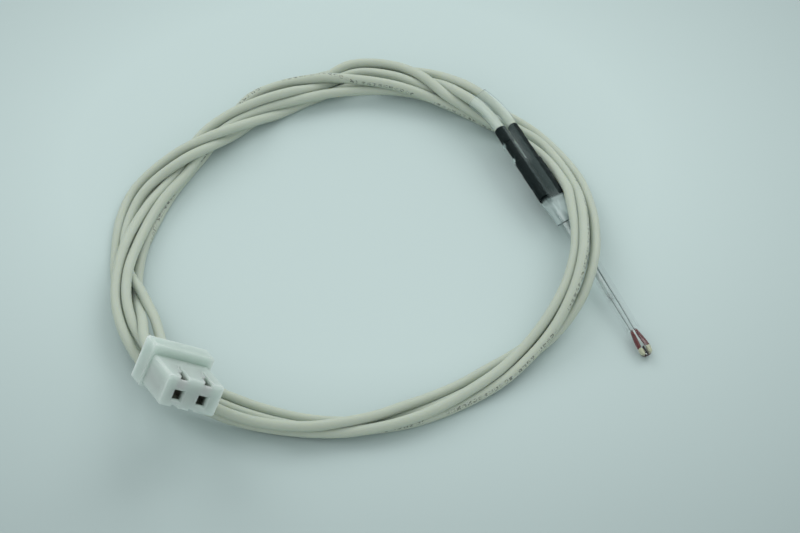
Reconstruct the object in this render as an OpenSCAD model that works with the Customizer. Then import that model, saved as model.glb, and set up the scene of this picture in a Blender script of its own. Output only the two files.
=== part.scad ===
// Glass bead temperature sensor on a loose coil of twin lead wire, with a crimp connector.
// Millimetres, +Z is up, the table is z = 0. The origin is under the middle of the hard pieces.
// The two wires leave the connector, run twice round the loop and a third of the way again,
// and end in the splice sleeve, whose thin probe tube lies under the loop's right-hand side.

/* [Lead wires] */
// Outer diameter of each insulated wire
wire_d = 1.0; // [0.8:0.05:1.1]
// Diameter of the bare stranded conductor in it
core_d = 0.46; // [0.3:0.02:0.6]

/* [Connector housing] */
// Distance between the two contacts
pitch = 2.5; // [2.4:0.1:3.5]
// Width of each contact cavity
cavity_w = 1.9; // [1.7:0.1:2.1]
// Height of each contact cavity
cavity_h = 1.6; // [1.6:0.1:2.2]
// Thickness of the side walls
side_t = 0.7; // [0.5:0.1:1.2]
// Thickness of the wall under the cavities
floor_t = 0.4; // [0.35:0.05:0.8]
// Thickness of the wall over the cavities
roof_t = 1.1; // [0.6:0.1:1.3]
// Thickness of the mating wall that the pins pass
front_t = 0.8; // [0.6:0.1:1.2]
// Length of the part that enters the header
nose_l = 4.4; // [4:0.2:6]
// Length of the grip collar behind it
collar_l = 2.1; // [1.9:0.1:3]
// Overhang of the collar at each side
collar_side = 0.3; // [0.2:0.05:0.8]
// Overhang of the collar above the nose
collar_rise = 1.0; // [0.7:0.05:1.4]
// Overhang of the collar below the nose
collar_drop = 0.25; // [0.2:0.05:0.5]
// Width of the square pin holes
pin_hole = 0.9; // [0.8:0.05:1.2]
// Width that the lead-in adds round each pin hole
lead_in = 0.1; // [0.05:0.05:0.2]
// Width of the latch windows in the top
window_w = 0.85; // [0.6:0.05:1.2]
// Length of the latch windows in the top
window_l = 1.1; // [0.8:0.1:1.6]
// Thickness of the lip in front of each window
lip_t = 0.3; // [0.2:0.05:0.5]
// Drop of that lip below the top
lip_drop = 0.35; // [0.15:0.05:0.5]
// Width of the narrow slots behind the windows
slot_w = 0.3; // [0.2:0.05:0.5]
// Length of the narrow slots behind the windows
slot_l = 1.3; // [0.8:0.1:1.6]
// Chamfer along the housing's edges
edge = 0.2; // [0.1:0.05:0.3]

/* [Crimp contacts] */
// Thickness of the contact's sheet metal
sheet_t = 0.18; // [0.12:0.02:0.24]
// Length of the contact's box
box_l = 2.4; // [2:0.1:2.6]
// Length of the barrel crimped on the bare conductor
core_barrel_l = 0.9; // [0.7:0.05:1]
// Length of the barrel crimped on the insulation
wire_barrel_l = 0.9; // [0.7:0.05:1]

/* [Probe] */
// Outer diameter of the clear probe tube
tube_d = 1.45; // [1.4:0.05:1.6]
// Bore of the clear probe tube
tube_bore = 1.15; // [1.05:0.05:1.25]
// Distance from the glass bead's middle to the end of the splice
probe_l = 18.4; // [16:0.2:24]
// Diameter of the lead wires of the bead
lead_d = 0.28; // [0.2:0.02:0.3]
// Distance between the bead's lead wires in the tube
lead_gap = 0.46; // [0.44:0.02:0.5]
// Outer diameter of the fine sleeve on one lead wire
liner_d = 0.5; // [0.44:0.02:0.56]

/* [Glass bead] */
// Diameter of the glass bead
bead_d = 1.3; // [1.2:0.05:1.4]
// Length of the glass bead
bead_l = 3.0; // [2.8:0.1:4]
// Diameter of the bead's neck
neck_d = 0.9; // [0.86:0.02:1]
// Length and height of the square sensor chip
chip_w = 0.55; // [0.45:0.05:0.7]
// Thickness of the sensor chip
chip_t = 0.16; // [0.12:0.02:0.2]
// Diameter of the two bonds that hold the chip
bond_d = 0.42; // [0.34:0.02:0.46]

/* [Splice sleeve] */
// Wall of each shrunk black sleeve
shrink_t = 0.06; // [0.04:0.01:0.1]
// Wall of the clear sleeve round both
clear_t = 0.07; // [0.05:0.01:0.12]
// Length of the black sleeves
shrink_l = 10.2; // [9.4:0.2:12]
// Length of the clear sleeve beyond them, over the wires
wire_cover = 4.9; // [3:0.1:7]
// Length of the clear sleeve beyond them, over the probe tube
tube_cover = 2.8; // [2:0.1:4]
// Outer diameter of each splice barrel
splice_d = 0.8; // [0.66:0.02:0.9]
// Length of each splice barrel
splice_l = 2.4; // [1.6:0.1:2.8]
// Angle by which the clear sleeve bends at the wire end
sleeve_bend = 6; // [0:1:8]

/* [Hidden] */
$fn = 48;

// Clearances of what fits in or over something else
fit = 0.02;
cavity_fit = 0.06;

// Middle of the loop, and where the bead lies, seen from that middle
loop_x = -4.15;
loop_y = 3.45;
bead_x = 27.5;
bead_y = -12.1;
probe_rise = 5.4;
probe_azimuth = 115.1;
sleeve_rise = 3;
sleeve_azimuth = 116.2;

// Mating edge of the connector, seen from the loop's middle, and how it is turned
plug_at = [-15.0, -25.3, 7.4];
plug_turn = [-28, 33, 10];

// Distance of the coil's middle line from the loop's middle, every 15 degrees from +X
LOOP_RADII = [
  23.1, 23.0, 22.8, 22.4, 22.1, 22.3, 22.1, 21.6, 21.1, 20.5, 20.1, 20.8,
  21.6, 22.7, 23.6, 23.8, 23.4, 22.7, 22.2, 21.7, 21.3, 21.5, 22.1, 22.7
];
coil_steps = 36;
// The coil rises in a long low hump where it passes over the probe tube
hump_angle = -4;
hump_reach = 44;
hump_h = 3.0;
// The four strands of the coil's section, in wire diameters, and the points of its outline
STRANDS = [[-0.75, 0.5], [0.25, 0.5], [-0.25, 1.366], [0.75, 1.366]];
OUTLINE = [
  [0, 270], [0, 225], [0, 180], [0, 135],
  [2, 165], [2, 120], [2, 75], [3, 135],
  [3, 90], [3, 45], [3, 0], [3, 315], [3, 285],
  [1, 30], [1, 0], [1, 315], [1, 270]
];

// Routes of the free ends: angle round the loop, offset from the coil's middle line, height
PLUG_END_A = [[220, -0.3, 3.9], [213, -1.3, 2.8], [205, -1.7, 1.8], [197, -1.6, 1.4]];
PLUG_END_B = [[219, 1.3, 5.0], [212, 0.3, 3.9], [205, -0.1, 3.0], [198, 0, 2.6]];
PROBE_END_A = [
  [222, 1.9, 1.4], [210, 1.9, 1.4], [200, 1.9, 1.4], [190, 2.1, 1.3],
  [180, 2.4, 0.8], [170, 2.4, 0.5], [160, 2.4, 0.8], [150, 2.0, 1.7], [145, 1.4, 2.4],
  [140, 0.7, 2.6], [130, -0.8, 2.4], [120, -1.8, 1.2], [110, -1.9, 0.5], [100, -1.9, 0.6],
  [90, -1.7, 1.4], [80, -1.0, 2.4], [70, -0.3, 2.9], [62, -0.4, 3.1]
];
PROBE_END_B = [
  [230, 1.3, 0.5], [220, 1.3, 0.5], [210, 1.3, 0.5], [200, 1.3, 0.5], [190, 1.3, 0.5],
  [180, 1.3, 0.5], [170, 1.3, 0.5], [160, 1.3, 0.5], [150, 1.3, 0.5], [140, 1.3, 0.5],
  [130, 1.3, 0.5], [120, 1.3, 0.5], [110, 1.3, 0.5], [100, 1.4, 0.6], [90, 1.8, 0.9],
  [80, 1.8, 1.6], [70, 1.4, 2.6], [64, 1.0, 3.0]
];

// Worked out from the sizes above
nose_w = pitch + cavity_w + 2 * side_t;
nose_h = floor_t + cavity_h + roof_t;
housing_l = nose_l + collar_l;
cavity_z = floor_t + cavity_h / 2;
contact_w = cavity_w - 2 * cavity_fit;
contact_h = cavity_h - 2 * cavity_fit;
contact_z = floor_t + cavity_fit;
contact_y = front_t + cavity_fit;
strip_w = 1.0;
barrel_gap = 0.35;
core_barrel_y = contact_y + box_l + barrel_gap;
wire_barrel_y = core_barrel_y + core_barrel_l + barrel_gap;
wire_z = contact_z + sheet_t + fit + wire_d / 2;
insulation_y = wire_barrel_y - barrel_gap / 2;
plug_stub = 0.8;

short_bore = wire_d + 2 * (fit + shrink_t);
short_d = short_bore + 2 * (fit + shrink_t);
lobe_pitch = short_d + fit;
short_stagger = 0.4;
cuff_l = 1.6;
cuff_to = shrink_l - 0.3;
cuff_from = cuff_to - cuff_l;
short_a_to = cuff_from - 2.6;
short_b_to = short_a_to - short_stagger;
insulation_x = shrink_l - 3.0;
splice_x = insulation_x - splice_l - 1.2;
splice_middle = splice_x + splice_l / 2;
bend_x = shrink_l + 0.4;
sleeve_stub = 0.4;
straight_l = 0.8;
step_l = 0.5;
low_pitch = 0.4;

tube_from = bead_l / 2 + fit;
tube_to = probe_l - 1.0;
liner_from = 5.4;
liner_to = tube_to - 0.4;
leg_end = bead_l / 2 - 1.85;
leg_gap = 2 * chip_t / 2 + bond_d + 2 * fit;
tip_r = bead_d * 0.3;
bead_z = (bead_l / 2 - tip_r) * sin(probe_rise) + (bead_d / 2 - tip_r) * cos(probe_rise) + tip_r;

// Places in the frames of the probe, the sleeve, its bent end and the connector
function turn_y(b, p) = [p[0] * cos(b) + p[2] * sin(b), p[1], -p[0] * sin(b) + p[2] * cos(b)];
function turn_z(c, p) = [p[0] * cos(c) - p[1] * sin(c), p[0] * sin(c) + p[1] * cos(c), p[2]];
function turn_x(a, p) = [p[0], p[1] * cos(a) - p[2] * sin(a), p[1] * sin(a) + p[2] * cos(a)];
bead_at = [loop_x + bead_x, loop_y + bead_y, bead_z];
function probe_pt(x, y, z = 0) = bead_at + turn_z(probe_azimuth, turn_y(-probe_rise, [x, y, z]));
splice_at = probe_pt(probe_l, 0);
function sleeve_pt(x, y, z = 0) = splice_at + turn_z(sleeve_azimuth, turn_y(-sleeve_rise, [x, y, z]));
function mouth_pt(x, y, z = 0) = sleeve_pt(
  bend_x + x * cos(sleeve_bend) - y * sin(sleeve_bend),
  x * sin(sleeve_bend) + y * cos(sleeve_bend),
  z
);
plug_origin = [loop_x, loop_y, 0] + plug_at;
function plug_pt(x, y, z) = plug_origin
  + turn_z(plug_turn[2], turn_y(plug_turn[1], turn_x(plug_turn[0], [x, y, z])));

// Middle line of the coil: a smooth closed curve through LOOP_RADII
function radius_no(k) = LOOP_RADII[(k + 2 * len(LOOP_RADII)) % len(LOOP_RADII)];
function curve(a, b, c, d, t) = b + t * ((c - a) / 2
  + t * (a - 2.5 * b + 2 * c - d / 2 + t * (1.5 * (b - c) + (d - a) / 2)));
function loop_r(angle) = let (
  s = (angle + 720) / 15,
  k = floor(s) % 24,
  t = s - floor(s)
) curve(radius_no(k - 1), radius_no(k), radius_no(k + 1), radius_no(k + 2), t);
function loop_pt(angle, offset, z) = let (r = loop_r(angle) + offset)
  [loop_x + r * cos(angle), loop_y + r * sin(angle), z];

// Height of the hump, a squared cosine that ends level with the table
function hump(angle) = let (
  turned = (angle - hump_angle + 540) % 360 - 180,
  share = min(abs(turned) / hump_reach, 1)
) hump_h * pow(cos(90 * share), 2);

// Rings joined to one closed skin: each ring is a list of points, all of one length
function skin(rings, closed) = let (
  n = len(rings[0]),
  m = len(rings),
  spans = closed ? m : m - 1
) concat(
  [for (i = [0:spans - 1]) for (j = [0:n - 1]) let (
    a = i * n + j,
    b = i * n + (j + 1) % n,
    c = ((i + 1) % m) * n + j,
    d = ((i + 1) % m) * n + (j + 1) % n
  ) each [[a, b, c], [b, d, c]]],
  closed ? [] : [[for (j = [n - 1:-1:0]) j]],
  closed ? [] : [[for (j = [0:n - 1]) (m - 1) * n + j]]
);

// A ring of eight points round each point of a route, square to the way the route runs
function unit(v) = v / norm(v);
function route_rings(points, d) = [for (i = [0:len(points) - 1]) let (
  ahead = points[min(i + 1, len(points) - 1)],
  behind = points[max(i - 1, 0)],
  along = unit(ahead - behind),
  side = unit(cross(along, [0, 0, 1])),
  up = cross(side, along)
) [for (k = [0:7]) points[i] + d / 2 * (cos(45 * k + 22.5) * side + sin(45 * k + 22.5) * up)]];

module wire_route(points, d) {
  rings = route_rings(points, d);
  polyhedron(points = [for (ring = rings) each ring], faces = skin(rings, false), convexity = 8);
}

function on_loop(route) = [for (p = route) loop_pt(p[0], p[1], p[2])];

// A round bar from one point to another
module bar(from, to, d) {
  run = to - from;
  translate(from)
    rotate([0, acos(run[2] / norm(run)), atan2(run[1], run[0])])
      cylinder(h = norm(run), d = d);
}

// Frames: the x axis runs up the probe or the sleeve, away from the bead
module in_probe() {
  translate(bead_at) rotate([0, -probe_rise, probe_azimuth]) children();
}
module in_sleeve() {
  translate(splice_at) rotate([0, -sleeve_rise, sleeve_azimuth]) children();
}
module in_plug() {
  translate(plug_origin) rotate(plug_turn) children();
}

// A pipe along x
module pipe(from, to, d, bore) {
  translate([from, 0, 0]) rotate([0, 90, 0]) difference() {
    cylinder(h = to - from, d = d);
    translate([0, 0, -1]) cylinder(h = to - from + 2, d = bore);
  }
}

// A cuboid with chamfered long edges, from x = -w/2, y = 0, z = low
module chamfered_block(w, l, low, high, c) {
  translate([0, l, 0]) rotate([90, 0, 0]) linear_extrude(l) polygon([
    [-w / 2 + c, low], [w / 2 - c, low], [w / 2, low + c], [w / 2, high - c],
    [w / 2 - c, high], [-w / 2 + c, high], [-w / 2, high - c], [-w / 2, low + c]
  ]);
}

// Moulded housing: nose with two cavities, pin holes, top channels, keys and grip collar
module connector_housing() {
  color([0.86, 0.89, 0.85]) in_plug() difference() {
    union() {
      chamfered_block(nose_w, nose_l + 1, 0, nose_h, edge);
      translate([0, nose_l, 0])
        chamfered_block(nose_w + 2 * collar_side, collar_l, -collar_drop, nose_h + collar_rise, edge);
    }
    for (x = [-pitch / 2, pitch / 2]) translate([x, 0, 0]) {
      housing_cavity();
      housing_window();
    }
    housing_keys();
  }
}

// One contact cavity, open at the rear, with its pin hole and lead-in at the front
module housing_cavity() {
  translate([-cavity_w / 2, front_t, floor_t]) cube([cavity_w, housing_l, cavity_h]);
  translate([-pin_hole / 2, -1, cavity_z - pin_hole / 2]) cube([pin_hole, front_t + 2, pin_hole]);
  funnel_depth = front_t / 3;
  translate([0, funnel_depth, cavity_z]) rotate([90, 0, 0])
    linear_extrude(funnel_depth + fit, scale = 1 + 2 * lead_in / pin_hole) square(pin_hole, center = true);
}

// One latch window through the roof, with a lowered lip before it and a narrow slot behind it
module housing_window() {
  low = floor_t + cavity_h - fit;
  translate([-window_w / 2, -1, nose_h - lip_drop]) cube([window_w, 1 + lip_t + fit, lip_drop + 1]);
  translate([-window_w / 2, lip_t, low]) cube([window_w, window_l, roof_t + 1]);
  translate([window_w / 2 - slot_w, lip_t + window_l - fit, low]) cube([slot_w, slot_l + fit, roof_t + 1]);
}

// Two grooves under the nose that leave three keys
module housing_keys() {
  groove_w = nose_w / 9;
  for (x = [-nose_w / 5, nose_w / 10])
    translate([x - groove_w / 2, -1, -1]) cube([groove_w, nose_l + 1, 1 + floor_t / 2]);
}

// Stamped crimp contact: box with spring tongue, strip, and the two crimped barrels
module crimp_contact(x) {
  box_z = contact_z + sheet_t;
  inner_w = contact_w - 2 * sheet_t;
  inner_h = contact_h - 2 * sheet_t;
  strip_end = wire_barrel_y + wire_barrel_l;
  in_plug() translate([x, 0, 0]) {
    difference() {
      translate([-contact_w / 2, contact_y, contact_z]) cube([contact_w, box_l, contact_h]);
      translate([-inner_w / 2, contact_y - 1, box_z]) cube([inner_w, box_l + 2, inner_h]);
    }
    contact_tongue(box_z, inner_h);
    translate([-strip_w / 2, contact_y + box_l - sheet_t, contact_z])
      cube([strip_w, strip_end - contact_y - box_l + sheet_t, sheet_t]);
    crimp_barrel(core_barrel_y, core_barrel_l, core_d);
    crimp_barrel(wire_barrel_y, wire_barrel_l, wire_d);
  }
}

// Spring tongue: folded back from the box's front edge, and bowed up against the pin
module contact_tongue(low, room) {
  bow = room / 3;
  translate([-strip_w / 3, 0, 0]) rotate([90, 0, 90]) linear_extrude(strip_w * 2 / 3) polygon([
    [contact_y, low - sheet_t / 2], [contact_y + box_l / 2, low + bow],
    [contact_y + box_l * 0.85, low - sheet_t / 2],
    [contact_y + box_l * 0.85 - sheet_t, low - sheet_t / 2],
    [contact_y + box_l / 2, low + bow - sheet_t], [contact_y + sheet_t, low - sheet_t / 2]
  ]);
}

// A barrel closed round a wire that lies over the strip, on a foot that meets the strip
module crimp_barrel(from, l, held_d) {
  bore = held_d + 2 * fit;
  translate([0, from, 0]) difference() {
    union() {
      translate([0, l, wire_z]) rotate([90, 0, 0]) cylinder(h = l, d = bore + 2 * sheet_t);
      translate([-strip_w / 2, 0, contact_z]) cube([strip_w, l, wire_z - contact_z]);
    }
    translate([0, l + 1, wire_z]) rotate([90, 0, 0]) cylinder(h = l + 2, d = bore);
  }
}

module crimp_contact_a() {
  color([0.78, 0.76, 0.7]) crimp_contact(pitch / 2);
}
module crimp_contact_b() {
  color([0.78, 0.76, 0.7]) crimp_contact(-pitch / 2);
}

// Bare conductor in the core barrel, and the end of the insulated wire behind it
module plug_core(x) {
  bar(plug_pt(x, core_barrel_y - barrel_gap / 2, wire_z), plug_pt(x, insulation_y, wire_z), core_d);
}
module wire_in_plug(x) {
  bar(plug_pt(x, insulation_y, wire_z), plug_pt(x, housing_l + plug_stub, wire_z), wire_d);
}
module plug_core_a() {
  color([0.8, 0.5, 0.35]) plug_core(pitch / 2);
}
module plug_core_b() {
  color([0.8, 0.5, 0.35]) plug_core(-pitch / 2);
}
module wire_a_in_plug() {
  color([0.87, 0.88, 0.8]) wire_in_plug(pitch / 2);
}
module wire_b_in_plug() {
  color([0.87, 0.88, 0.8]) wire_in_plug(-pitch / 2);
}

// Free wire from the connector down to the top of the coil
module plug_end(x, route) {
  exit_y = housing_l + plug_stub;
  straight = [plug_pt(x, exit_y, wire_z), plug_pt(x, exit_y + straight_l, wire_z)];
  wire_route(concat(straight, on_loop(route)), wire_d);
}
module wire_a_plug_end() {
  color([0.87, 0.88, 0.8]) plug_end(pitch / 2, PLUG_END_A);
}
module wire_b_plug_end() {
  color([0.87, 0.88, 0.8]) plug_end(-pitch / 2, PLUG_END_B);
}

// The coil: two full turns of both wires, as the outer shape of the four strands
module wire_coil() {
  rings = [for (i = [0:coil_steps - 1]) let (angle = -360 * i / coil_steps)
    [for (k = OUTLINE) let (
      offset = wire_d * (STRANDS[k[0]][0] + cos(k[1]) / 2),
      z = wire_d * (STRANDS[k[0]][1] + sin(k[1]) / 2) + hump(angle)
    ) loop_pt(angle, offset, z)]];
  color([0.87, 0.88, 0.8])
    polyhedron(points = [for (ring = rings) each ring], faces = skin(rings, true), convexity = 8);
}

// Free wire from the coil into the mouth of the clear sleeve
module probe_end(side, route) {
  y = side * lobe_pitch / 2;
  exit_x = wire_cover + sleeve_stub;
  wire_route(concat(on_loop(route), [mouth_pt(exit_x + straight_l, y), mouth_pt(exit_x, y)]), wire_d);
}
module wire_a_probe_end() {
  color([0.87, 0.88, 0.8]) probe_end(1, PROBE_END_A);
}
module wire_b_probe_end() {
  color([0.87, 0.88, 0.8]) probe_end(-1, PROBE_END_B);
}

// Last stretch of each wire, held in the sleeve, and its bare end in the splice barrel
module wire_in_sleeve(side) {
  y = side * lobe_pitch / 2;
  corner_x = bend_x - y * tan(sleeve_bend / 2);
  exit_x = wire_cover + sleeve_stub;
  wire_route([mouth_pt(exit_x, y), sleeve_pt(corner_x, y), sleeve_pt(insulation_x, y)], wire_d);
}
module splice_core(side) {
  y = side * lobe_pitch / 2;
  bar(sleeve_pt(splice_middle + fit, y), sleeve_pt(insulation_x, y), core_d);
}
module splice_barrel(side) {
  in_sleeve() translate([0, side * lobe_pitch / 2, 0])
    pipe(splice_x, splice_x + splice_l, splice_d, max(core_d, lead_d) + 2 * fit);
}
module wire_a_in_sleeve() {
  color([0.87, 0.88, 0.8]) wire_in_sleeve(1);
}
module wire_b_in_sleeve() {
  color([0.87, 0.88, 0.8]) wire_in_sleeve(-1);
}
module splice_core_a() {
  color([0.8, 0.5, 0.35]) splice_core(1);
}
module splice_core_b() {
  color([0.8, 0.5, 0.35]) splice_core(-1);
}
module splice_barrel_a() {
  color([0.75, 0.75, 0.73]) splice_barrel(1);
}
module splice_barrel_b() {
  color([0.75, 0.75, 0.73]) splice_barrel(-1);
}

// Black sleeves: a long one over each splice, and shorter ones shrunk over those
module shrink(side, from, to, bore) {
  color([0.1, 0.11, 0.11]) in_sleeve() translate([0, side * lobe_pitch / 2, 0])
    pipe(from, to, bore + 2 * shrink_t, bore);
}
module shrink_long_a() {
  shrink(1, 0, shrink_l, wire_d + 2 * fit);
}
module shrink_long_b() {
  shrink(-1, 0, shrink_l, wire_d + 2 * fit);
}
module shrink_short_a() {
  shrink(1, short_stagger, short_a_to, short_bore + 2 * fit);
}
module shrink_short_b() {
  shrink(-1, 0, short_b_to, short_bore + 2 * fit);
}
module shrink_collar_a() {
  shrink(1, cuff_from, cuff_to, short_bore + 2 * fit);
}

// Clear sleeve: a film drawn flat across both lobes, and shrunk to what it holds at each end.
// Its skin runs up the outside and comes back down the inside.
function film_ring(half_w, r) = [
  for (side = [1, -1]) for (k = [0:11]) let (turned = 90 - 180 * k / 11)
    side * [half_w + r * cos(turned), r * sin(turned)]
];
function film_rings(grow) = let (
  low = film_ring(low_pitch / 2, tube_d / 2 + 2 * fit + grow),
  mid = film_ring(lobe_pitch / 2, short_d / 2 + 2 * fit + grow),
  top = film_ring(lobe_pitch / 2, wire_d / 2 + 2 * fit + grow)
) [
  [for (p = low) probe_pt(probe_l - tube_cover, p[0], p[1])],
  [for (p = low) probe_pt(probe_l - step_l, p[0], p[1])],
  [for (p = mid) sleeve_pt(-fit, p[0], p[1])],
  [for (p = mid) sleeve_pt(shrink_l + fit, p[0], p[1])],
  [for (p = top) sleeve_pt(bend_x - p[0] * tan(sleeve_bend / 2), p[0], p[1])],
  [for (p = top) mouth_pt(wire_cover, p[0], p[1])]
];
module clear_sleeve() {
  outer = film_rings(clear_t);
  inner = film_rings(0);
  rings = concat(outer, [for (i = [len(inner) - 1:-1:0]) inner[i]]);
  color([0.8, 0.86, 0.86, 0.4])
    polyhedron(points = [for (ring = rings) each ring], faces = skin(rings, true), convexity = 6);
}

// Clear probe tube, and the fine sleeve that keeps its two lead wires apart
module probe_tube() {
  color([0.8, 0.86, 0.86, 0.4]) in_probe() pipe(tube_from, tube_to, tube_d, tube_bore);
}
module lead_liner() {
  color([0.8, 0.84, 0.84]) in_probe() translate([0, lead_gap / 2, 0])
    pipe(liner_from, liner_to, liner_d, lead_d + 2 * fit);
}

// Lead wire: from the splice barrel down the tube, then spread in the glass
function lead_points(side, past) = [
  sleeve_pt(splice_middle - fit, side * lobe_pitch / 2),
  sleeve_pt(splice_x - 1.6, side * lobe_pitch / 2),
  probe_pt(tube_to - 0.2, side * lead_gap / 2),
  probe_pt(bead_l / 2 - 0.2, side * lead_gap / 2),
  probe_pt(leg_end - past, side * leg_gap / 2)
];
module lead_a() {
  color([0.62, 0.36, 0.34]) wire_route(lead_points(1, 0), lead_d);
}
module lead_b() {
  color([0.62, 0.36, 0.34]) wire_route(lead_points(-1, 0), lead_d);
}

// Bonds of fired paste between the lead wires and the chip
module bond(side, grow) {
  translate([leg_end - fit - chip_w + 0.1 - grow, side * leg_gap / 2, 0]) rotate([0, 90, 0])
    cylinder(h = chip_w - 0.1 + 2 * grow, d = bond_d + 2 * grow);
}
module chip_bond_a() {
  color([0.86, 0.86, 0.74]) in_probe() bond(1, 0);
}
module chip_bond_b() {
  color([0.86, 0.86, 0.74]) in_probe() bond(-1, 0);
}
module chip(grow) {
  translate([leg_end - fit - chip_w - grow, -chip_t / 2 - grow, -chip_w / 2 - grow])
    cube([chip_w + 2 * grow, chip_t + 2 * grow, chip_w + 2 * grow]);
}
module sensor_chip() {
  color([0.12, 0.13, 0.13]) in_probe() chip(0);
}

// Glass bead: blown round the chip and the spread lead wires, with a drawn-in neck
module bead_form() {
  tip = -bead_l / 2;
  shoulder = bead_l * 0.08;
  rotate([0, 90, 0]) rotate_extrude() polygon(concat(
    [[0, tip]],
    [for (k = [0:15:90]) [bead_d / 2 - tip_r + tip_r * sin(k), tip + tip_r - tip_r * cos(k)]],
    [for (k = [0:15:90]) let (drop = (bead_d - neck_d) / 2)
      [bead_d / 2 - drop * (1 - cos(2 * k)) / 2, shoulder + (bead_l / 2 - shoulder) * k / 90]],
    [[0, bead_l / 2]]
  ));
}
module glass_bead() {
  color([0.8, 0.88, 0.84, 0.4]) difference() {
    in_probe() difference() {
      bead_form();
      bond(1, fit / 2);
      bond(-1, fit / 2);
      chip(fit / 2);
    }
    for (side = [-1, 1]) wire_route(lead_points(side, fit / 2), lead_d + fit);
  }
}

connector_housing();
crimp_contact_a();
crimp_contact_b();
plug_core_a();
plug_core_b();
wire_a_in_plug();
wire_b_in_plug();
wire_a_plug_end();
wire_b_plug_end();
wire_coil();
wire_a_probe_end();
wire_b_probe_end();
wire_a_in_sleeve();
wire_b_in_sleeve();
splice_core_a();
splice_core_b();
splice_barrel_a();
splice_barrel_b();
shrink_long_a();
shrink_long_b();
shrink_short_a();
shrink_short_b();
shrink_collar_a();
clear_sleeve();
probe_tube();
lead_liner();
lead_a();
lead_b();
chip_bond_a();
chip_bond_b();
sensor_chip();
glass_bead();
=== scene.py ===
"""Dresses the glass bead thermistor: two coiled lead wires, splice sleeve, probe and connector."""

import bmesh
import bpy
import numpy as np
from bpy.props import FloatProperty, FloatVectorProperty, IntProperty, PointerProperty
from bpy.types import Operator, Panel, PropertyGroup
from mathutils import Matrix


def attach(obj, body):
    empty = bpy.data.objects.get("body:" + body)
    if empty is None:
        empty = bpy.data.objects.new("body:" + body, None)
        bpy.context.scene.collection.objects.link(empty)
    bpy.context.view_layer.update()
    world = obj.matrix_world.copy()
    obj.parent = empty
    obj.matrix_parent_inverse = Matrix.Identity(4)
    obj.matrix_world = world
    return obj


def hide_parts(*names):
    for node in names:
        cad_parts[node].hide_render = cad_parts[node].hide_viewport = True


bl_info = {
    "name": "Glass Bead Thermistor",
    "version": (1, 0, 0),
    "blender": (4, 5, 0),
    "location": "View3D > Sidebar > Thermistor",
    "description": "Builds a glass bead thermistor on coiled lead wires round its packed solids",
    "category": "Add Mesh",
}

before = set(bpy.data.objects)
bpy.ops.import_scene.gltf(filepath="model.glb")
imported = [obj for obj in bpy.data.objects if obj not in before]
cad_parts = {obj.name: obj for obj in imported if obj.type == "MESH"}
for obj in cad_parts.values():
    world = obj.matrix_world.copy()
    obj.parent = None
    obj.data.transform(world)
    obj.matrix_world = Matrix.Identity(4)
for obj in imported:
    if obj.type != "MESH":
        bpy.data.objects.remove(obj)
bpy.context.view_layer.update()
MM = 0.001

# Middle of the loop, places of the bead and the connector from there, how the probe, the sleeve
# and the connector are turned, and how much the sleeve bends a millimetre, in mm and degrees
LOOP_MIDDLE = np.array([-4.15, 3.45, 0.0])
BEAD_PLACE = np.array([27.5, -12.1, 0.753])
PROBE_RISE = 5.4
PROBE_AZIMUTH = 115.1
SLEEVE_RISE = 3.0
SLEEVE_AZIMUTH = 116.2
SLEEVE_BEND = 4.9
PROBE_LENGTH = 18.4
PLUG_PLACE = np.array([-15.0, -25.3, 7.4])
PLUG_TURN = (-28.0, 33.0, 10.0)

# The splice sleeve in its own frame: where it starts to bend, the ends of its film, how far each
# lobe lies off its middle, and the two places where the black sleeves step
BEND_X = 10.6
FILM_FROM = -2.8
FILM_TO = 15.1
LOBE = 0.67
SLEEVE_STEPS = (5.95, 8.05)
# What the film's inner skin adds to its uv, by which its material tells the two skins apart
INNER_SKIN = 100.0

# Half the distance between the contacts, and where the wires lie in the connector and the sleeve
HALF_PITCH = 1.25
PLUG_WIRE_HEIGHT = 1.16
PLUG_RUN = (4.7, 5.6, 6.5, 7.3, 8.1)
SLEEVE_RUN = (16.2, 15.4, 14.0, 12.0, 10.5, 9.0, 7.2)

# The probe in its own frame: ends of the tube, ends, radius and bore of the liner, radius of the
# leads in the glass, how far their tips spread, and the middle of the bonds and the chip
TUBE_ENDS = (1.55, 17.4)
LINER_ENDS = (5.4, 17.0)
LINER_RADIUS = 0.25
LINER_BORE = 0.16
STUD_RADIUS = 0.2
STUD_SPREAD = 0.34
BOND_MIDDLE = -1.0
CHIP_MIDDLE = -1.02

# Distance of the coil's middle line from the loop's middle, every 15 degrees from +X
LOOP_RADII = np.array([
    23.1, 23.0, 22.8, 22.4, 22.1, 22.3, 22.1, 21.6, 21.1, 20.5, 20.1, 20.8,
    21.6, 22.7, 23.6, 23.8, 23.4, 22.7, 22.2, 21.7, 21.3, 21.5, 22.1, 22.7,
])

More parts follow.
